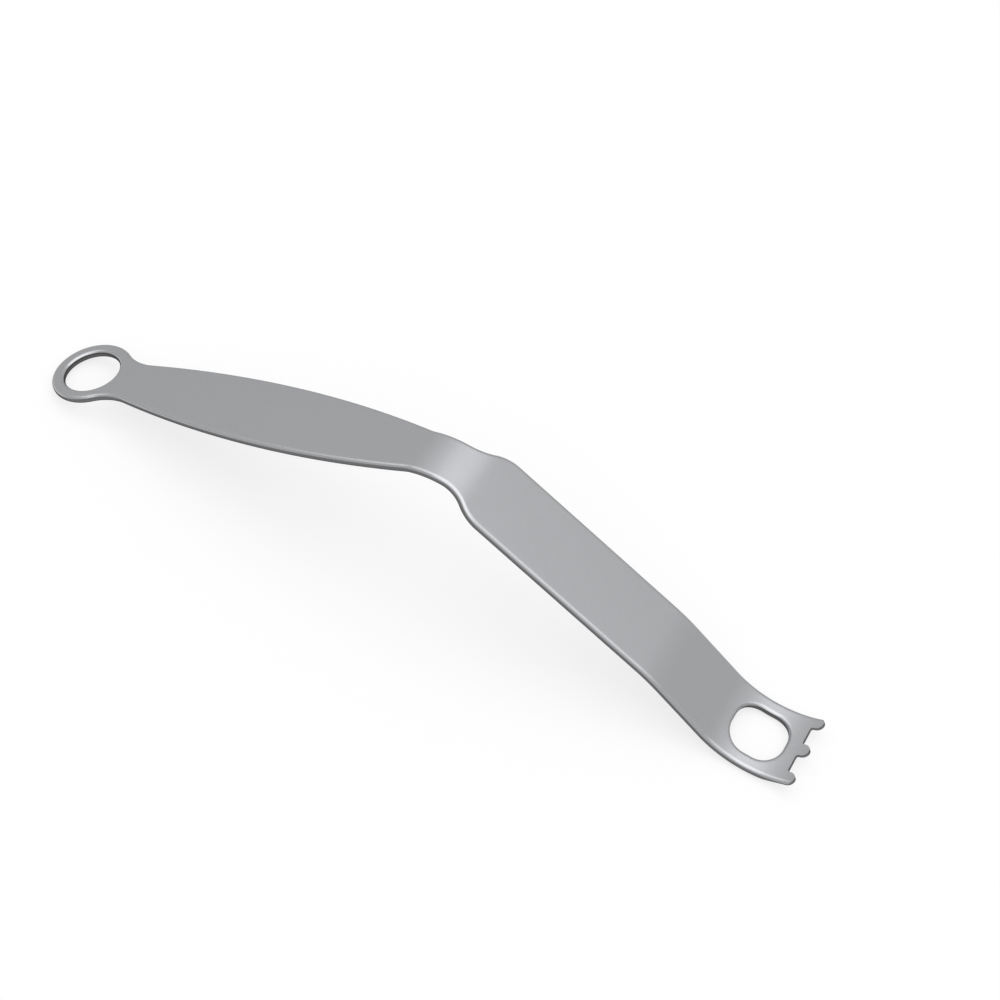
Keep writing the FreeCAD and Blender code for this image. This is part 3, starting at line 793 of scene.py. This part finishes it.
# %% Floor
FLOOR_SIZE, PAPER_WHITE, SEEN_WHITE = 40, (0.97, 0.97, 0.97, 1), 0.7
bpy.ops.mesh.primitive_plane_add(size=FLOOR_SIZE)
floor = bpy.context.object
floor.name = "floor"
paper = bpy.data.materials.new("white_paper")
paper.use_nodes = True
tree = paper.node_tree
matt = tree.nodes["Principled BSDF"]
matt.inputs["Base Color"].default_value = PAPER_WHITE
matt.inputs["Roughness"].default_value = 1.0
matt.inputs["Specular IOR Level"].default_value = 0.0
rays = node(tree, "ShaderNodeLightPath").outputs
mirrored = maths(tree, "MAXIMUM", rays["Is Glossy Ray"], rays["Is Transmission Ray"])
seen = maths(tree, "MAXIMUM", rays["Is Camera Ray"], mirrored)
share = maths(tree, "MULTIPLY", seen, SEEN_WHITE)
white = node(tree, "ShaderNodeEmission", (1, 1, 1, 1), 1.0)
mixed = node(tree, "ShaderNodeMixShader", share, matt.outputs[0], white.outputs[0])
tree.links.new(mixed.outputs[0], tree.nodes["Material Output"].inputs["Surface"])
floor.data.materials.append(paper)
print("the floor is", FLOOR_SIZE, "m wide")

# %% [markdown]
# Satin steel shows what is round it. A flat face mirrors one small patch of the room and looks even, while
# each bend and each rounding sweeps over a wide part of it. The walls of the room are an even light grey, and
# what brings out the shape hangs in front of them.

# %% The room
ROOM_STRENGTH = 0.62
world = bpy.data.worlds.new("studio")
bpy.context.scene.world = world
world.use_nodes = True
room = world.node_tree.nodes["Background"].inputs
room["Color"].default_value, room["Strength"].default_value = (1, 1, 1, 1), ROOM_STRENGTH
bpy.context.scene.view_settings.view_transform = "Standard"
print("the room has a brightness of", ROOM_STRENGTH)

# %% [markdown]
# The first bend has a bright band because it passes under the middle of the overhead cloth. The edges that
# face the camera mirror the front panel. The last number of each softbox is its brightness in a mirror, where
# 1 is white. All the lights together light a level sheet of paper to just about white, so every colour looks
# as it is written.

# %% Softboxes
def softbox(name, place, target, width, depth, radiance):
    """A rectangular lamp that faces a target. Radiance 1 looks white in a mirror."""
    lamp = bpy.data.objects.new(name, bpy.data.lights.new(name, "AREA"))
    lamp.data.shape = "RECTANGLE"
    lamp.data.size, lamp.data.size_y = width, depth
    lamp.data.energy = radiance * math.pi * width * depth
    lamp.location = place
    lamp.rotation_euler = (Vector(target) - Vector(place)).to_track_quat("-Z", "Y").to_euler()
    lamp.visible_camera = False
    bpy.context.scene.collection.objects.link(lamp)


softbox("overhead_cloth", (0, 0.3, 3.0), (0, 0.3, 0), 6.8, 3.4, 0.63)
softbox("overhead_middle", (0.12, 0.3, 2.98), (0.12, 0.3, 0), 2.3, 3.4, 0.45)
softbox("front_panel", (0, -1.9, 2.4), (0, 0, 0.8), 1.6, 1.56, 0.85)
softbox("side_panel", (1.6, -1.9, 2.4), (1.6, 0, 0.8), 1.6, 1.56, 0.4)
